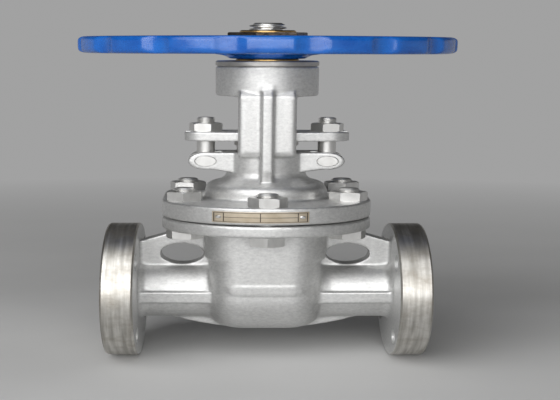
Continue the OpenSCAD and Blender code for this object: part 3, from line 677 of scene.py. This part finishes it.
def plate_lines():
    """A raised border and ruled fields on the nameplate, which stay empty."""
    low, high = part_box("nameplate")
    radius = -low.y - flange_gap
    left = math.asin((low.x - axis_x) / radius) + line_margin / radius
    right = math.asin((high.x - axis_x) / radius) - line_margin / radius
    bottom, top = low.z + line_margin, high.z - line_margin
    middle_z, half_w = (bottom + top) / 2, line_w / 2
    thick = line_w / radius
    fields = [left + (right - left) * share for share in (0.11, 0.5, 0.89)]
    strips = [(left, right, bottom, bottom + line_w), (left, right, top - line_w, top)]
    uprights = (left, right - thick, *fields)
    strips += [(start, start + thick, bottom + half_w, top - half_w) for start in uprights]
    strips.append((fields[0] + thick / 2, fields[2] + thick / 2, middle_z - half_w, middle_z + half_w))
    points = []
    faces = []
    for strip in strips:
        first = len(points)
        rows = plate_strip(*strip, radius, line_proud)
        points += rows
        last = first + len(rows) - 4
        faces += [tuple(range(first, first + 4)), tuple(range(last, last + 4))]
        for row in range(first, last, 4):
            for corner in range(4):
                beside = (corner + 1) % 4
                faces.append((row + corner, row + beside, row + 4 + beside, row + 4 + corner))
    mesh = bpy.data.meshes.new("nameplate_lines")
    mesh.from_pydata(points, [], faces)
    outward(mesh)
    obj = add_object("nameplate_lines", mesh)
    mesh.materials.append(materials["blackened_steel"])
    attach(obj, "valve")


def plain_casting(node, slot, skin, additions=(), cuts=(), bores=()):
    """A casting of one material on the valve's body, with bores that keep their sharp edges."""
    obj = softened(node, *skin, additions, cuts)
    for bore in bores:
        combine(obj, bore, "DIFFERENCE")
    smooth_shading(obj, casting_sharp)
    dress(obj, slot)
    stand_for(obj, node, "valve")


def wheel_casting():
    """The handwheel with a deeper rim and spokes, and soft edges under the enamel."""
    obj = add_object("handwheel_casting", welded_mesh("handwheel"))
    for point in obj.data.vertices:
        if math.hypot(point.co.x - axis_x, point.co.y) > wheel_hub_r and point.co.z < wheel_split_z:
            point.co.z -= wheel_drop
    remesh(obj, *wheel_skin)
    smooth_shading(obj)
    dress(obj, "blue_paint")
    stand_for(obj, "handwheel", "handwheel")


def thread_mesh(radius, pitch, depth, low, high, hand):
    """A closed rod along Z with a running thread and a bevelled top end. Hand is 1 for right, -1 for left."""
    rows_per_turn, columns = 12, 48
    flank_slope, flank_start, bevel_depth = 2.4, 0.7, 1.3
    crest = radius - crest_play
    rows = round((high - low) / pitch * rows_per_turn)
    points = []
    for row in range(rows + 1):
        z = low + (high - low) * row / rows
        for column in range(columns):
            share = column / columns
            phase = ((z - low) / pitch - hand * share) % 1
            flank = min(1, max(0, flank_slope * abs(2 * phase - 1) - flank_start))
            r = min(crest - depth * flank, radius - depth * bevel_depth + (high - z))
            points.append((r * math.cos(math.tau * share), r * math.sin(math.tau * share), z))
    points += [(0, 0, low), (0, 0, high)]
    foot, tip = len(points) - 2, len(points) - 1
    last = rows * columns
    faces = []
    for column in range(columns):
        beside = (column + 1) % columns
        faces.append((foot, beside, column))
        faces.append((tip, last + column, last + beside))
        for row in range(0, last, columns):
            faces.append((row + column, row + beside, row + columns + beside, row + columns + column))
    mesh = bpy.data.meshes.new("thread")
    mesh.from_pydata(points, [], faces)
    return mesh


def islands(node):
    """Middle of each separate solid of a node, seen from above."""
    form = bmesh.new()
    form.from_mesh(nodes[node].data)
    bmesh.ops.remove_doubles(form, verts=form.verts, dist=weld_reach)
    waiting = set(form.verts)
    middles = []
    while waiting:
        front = [waiting.pop()]
        group = []
        while front:
            point = front.pop()
            group.append(point.co.copy())
            for edge in point.link_edges:
                other = edge.other_vert(point)
                if other in waiting:
                    waiting.remove(other)
                    front.append(other)
        xs = [co.x for co in group]
        ys = [co.y for co in group]
        middles.append(((min(xs) + max(xs)) / 2, (min(ys) + max(ys)) / 2))
    form.free()
    return sorted(middles)


def threaded(node, body, slot, thread, hand=1, drop=0):
    """Cuts a node's rods off where the thread starts and puts threaded ends of the same length on them.
    The lowest ends move down by the drop."""
    start, radius, pitch, depth = thread
    # Not half a pitch, which would put a row of the thread's points in the plane of the cut
    sunk = 0.46 * pitch
    low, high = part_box(node)
    obj = add_object(node + "_threaded", welded_mesh(node))
    for point in obj.data.vertices:
        if point.co.z < low.z + head_reach:
            point.co.z -= drop
    top = block((low.x - cut_room.x, low.y - cut_room.y, start), high + cut_room)
    combine(obj, top, "DIFFERENCE")
    for x, y in islands(node):
        end = add_object("threaded_end", thread_mesh(radius, pitch, depth, start - sunk, high.z, hand))
        end.data.transform(Matrix.Translation((x, y, 0)))
        combine(obj, end, "UNION")
    drop_flaps(obj)
    smooth_shading(obj, thread_sharp)
    dress(obj, slot)
    stand_for(obj, node, body)


body_casting()
plain_casting("bonnet", "cast_stainless", bonnet_skin, [dome_blend(), *arm_shoulders(), *pin_plugs()],
              [*rib_slopes(), *arm_undercuts()], pin_bores())
plain_casting("gland_flange", "cast_stainless", gland_skin)
wheel_casting()
plate_lines()
threaded("stem", "stem", "polished_stem", stem_thread, hand=-1)
threaded("bonnet_bolts", "valve", "fastener_steel", bonnet_bolt_thread, drop=head_drop)
for side in ("left", "right"):
    threaded("eyebolt_" + side, "valve", "fastener_steel", eyebolt_thread)


# Light, floor and camera

def softbox(name, azimuth, elevation, size, watts):
    """A rectangular lamp that faces the valve. Azimuth 0 is the front, and minus is the left."""
    azimuth, elevation = math.radians(azimuth), math.radians(elevation)
    lamp = bpy.data.lights.new(name, "AREA")
    lamp.shape = "RECTANGLE"
    lamp.size, lamp.size_y = size
    lamp.energy = watts
    obj = bpy.data.objects.new(name, lamp)
    flat = lamp_distance * math.cos(elevation)
    up = lamp_distance * math.sin(elevation)
    away = Vector((flat * math.sin(azimuth), -flat * math.cos(azimuth), up))
    obj.location = lamp_target + away
    obj.rotation_euler = (lamp_target - obj.location).to_track_quat("-Z", "Y").to_euler()
    obj.visible_camera = False
    bpy.context.scene.collection.objects.link(obj)


def studio_world():
    """A dim room with a pale strip along the horizon."""
    world = bpy.data.worlds.new("studio")
    world.use_nodes = True
    bpy.context.scene.world = world
    tree = world.node_tree
    coords = put(tree, "ShaderNodeTexCoord")
    split = put(tree, "ShaderNodeSeparateXYZ", {"Vector": coords.outputs["Generated"]})
    level = spread(tree, split.outputs["Z"], backdrop_level, room_level, 0.07, 0.24)
    tree.links.new(level, tree.nodes["Background"].inputs["Strength"])
    tree.nodes["Background"].inputs["Color"].default_value = (1.0, 1.0, 1.0, 1)


def pale_floor():
    """A large pale sheet that the valve's flanges stand on, which runs into the pale backdrop all round."""
    half = floor_half_w
    mesh = bpy.data.meshes.new("floor")
    corners = [(-half, -half, 0), (half, -half, 0), (half, half, 0), (-half, half, 0)]
    mesh.from_pydata(corners, [], [(0, 1, 2, 3)])
    obj = add_object("floor", mesh)
    obj.location = (axis_x, 0, floor_z)
    material, tree, shader = new_material("pale_floor")
    tone = two_tone(tree, noise(tree, 6, 2), (0.58, 0.58, 0.575), (0.62, 0.62, 0.615))
    finish_shader(tree, shader, Base_Color=tone, Roughness=0.7)
    seen = put(tree, "ShaderNodeLightPath").outputs
    direct = math_node(tree, "MAXIMUM", seen["Is Camera Ray"], seen["Is Glossy Ray"])
    shown = math_node(tree, "MAXIMUM", direct, seen["Is Transmission Ray"])
    spot = put(tree, "ShaderNodeTexCoord").outputs["Object"]
    away = put(tree, "ShaderNodeVectorMath", {0: spot}, operation="LENGTH").outputs["Value"]
    share = math_node(tree, "MULTIPLY", shown, spread(tree, away, 0.0, 1.0, *floor_fade))
    glow = put(tree, "ShaderNodeEmission", {"Strength": backdrop_level}).outputs["Emission"]
    mix = put(tree, "ShaderNodeMixShader", {0: share, 1: shader.outputs["BSDF"], 2: glow})
    tree.links.new(mix.outputs["Shader"], tree.nodes["Material Output"].inputs["Surface"])
    mesh.materials.append(material)


def stretched_camera():
    """The photograph is about twice as wide as it should be for its height. This lens takes in fewer degrees
    across than up, so the picture is wide in the same way while the part keeps its true sizes."""
    distance, height, aside = 0.900, 0.285, -0.0153
    pitch, yaw, roll = math.radians(11.33), math.radians(1.48), math.radians(0.48)
    half_up, half_across = math.radians(14.02), math.radians(9.66)
    data = bpy.data.cameras.new("camera")
    data.type = "PANO"
    data.panorama_type = "EQUIRECTANGULAR"
    data.latitude_min, data.latitude_max = -half_up, half_up
    data.longitude_min, data.longitude_max = -half_across, half_across
    obj = bpy.data.objects.new("camera", data)
    aim = Matrix.Rotation(-yaw, 4, "Z") @ Matrix.Rotation(math.pi / 2 - pitch, 4, "X")
    turn = aim @ Matrix.Rotation(roll, 4, "Z")
    obj.matrix_world = Matrix.Translation((axis_x + aside, -distance, height)) @ turn
    bpy.context.scene.collection.objects.link(obj)
    bpy.context.scene.camera = obj


softbox("key_softbox", *key_lamp)
softbox("front_softbox", *front_lamp)
studio_world()
pale_floor()
stretched_camera()
bpy.context.scene.view_settings.view_transform = "Standard"
